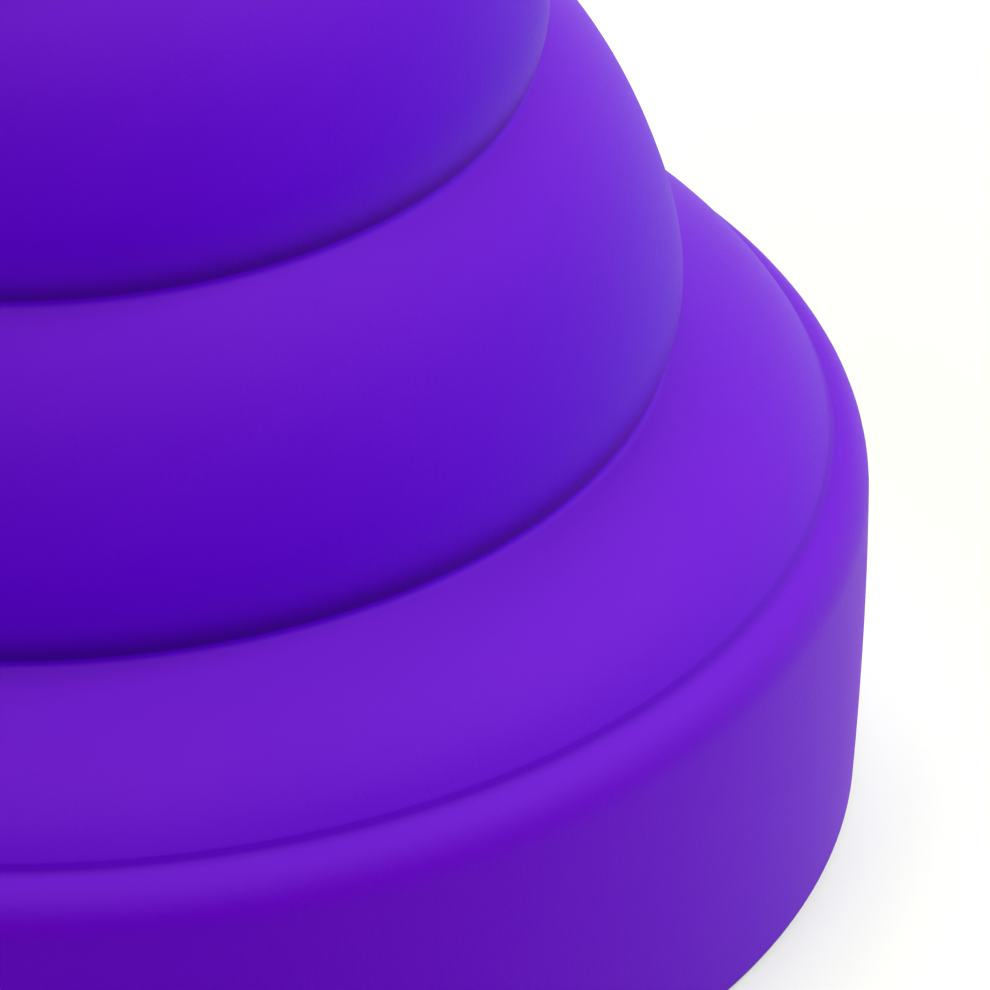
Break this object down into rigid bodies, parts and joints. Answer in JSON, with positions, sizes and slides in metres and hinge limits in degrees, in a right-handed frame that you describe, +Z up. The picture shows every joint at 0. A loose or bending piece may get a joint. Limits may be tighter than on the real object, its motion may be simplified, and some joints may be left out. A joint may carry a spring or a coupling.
{
  "type": "silicone cupping cup",
  "caption": "Soft tiered suction cup with a thick stepped rim, bulging folds and a closed dome. It is pressed down on skin and springs back to pull a vacuum.",
  "frame": {"origin": "centre of the lip's flat land, on the face that the cup stands on", "axes": "+Z up along the cup's axis, from the open mouth to the closed crown; the cup is round, so X and Y are free"},
  "size_m": [0.06, 0.06, 0.0506],
  "materials": {
    "violet_silicone": "matte moulded silicone, fine grain, faint sheen"
  },
  "bodies": {
    "rim": {"sealing_lip": "violet_silicone", "rim_band": "violet_silicone", "shoulder_web": "violet_silicone"},
    "lower_tier": {"lower_fold": "violet_silicone", "lower_ring": "violet_silicone", "lower_web": "violet_silicone"},
    "upper_tier": {"middle_fold": "violet_silicone", "upper_ring": "violet_silicone", "upper_web": "violet_silicone"},
    "crown_tier": {"upper_fold": "violet_silicone", "crown": "violet_silicone"}
  },
  "joints": [
    {"name": "shoulder_press", "type": "slide", "parent": "rim", "child": "lower_tier", "axis": [0, 0, -1], "range_m": [0, 0.008], "stiffness_N_per_m": 1000, "deforming": ["shoulder_web"]},
    {"name": "lower_press", "type": "slide", "parent": "lower_tier", "child": "upper_tier", "axis": [0, 0, -1], "range_m": [0, 0.012], "stiffness_N_per_m": 670, "deforming": ["lower_web"]},
    {"name": "upper_press", "type": "slide", "parent": "upper_tier", "child": "crown_tier", "axis": [0, 0, -1], "range_m": [0, 0.0105], "stiffness_N_per_m": 760, "deforming": ["upper_web"]}
  ]
}
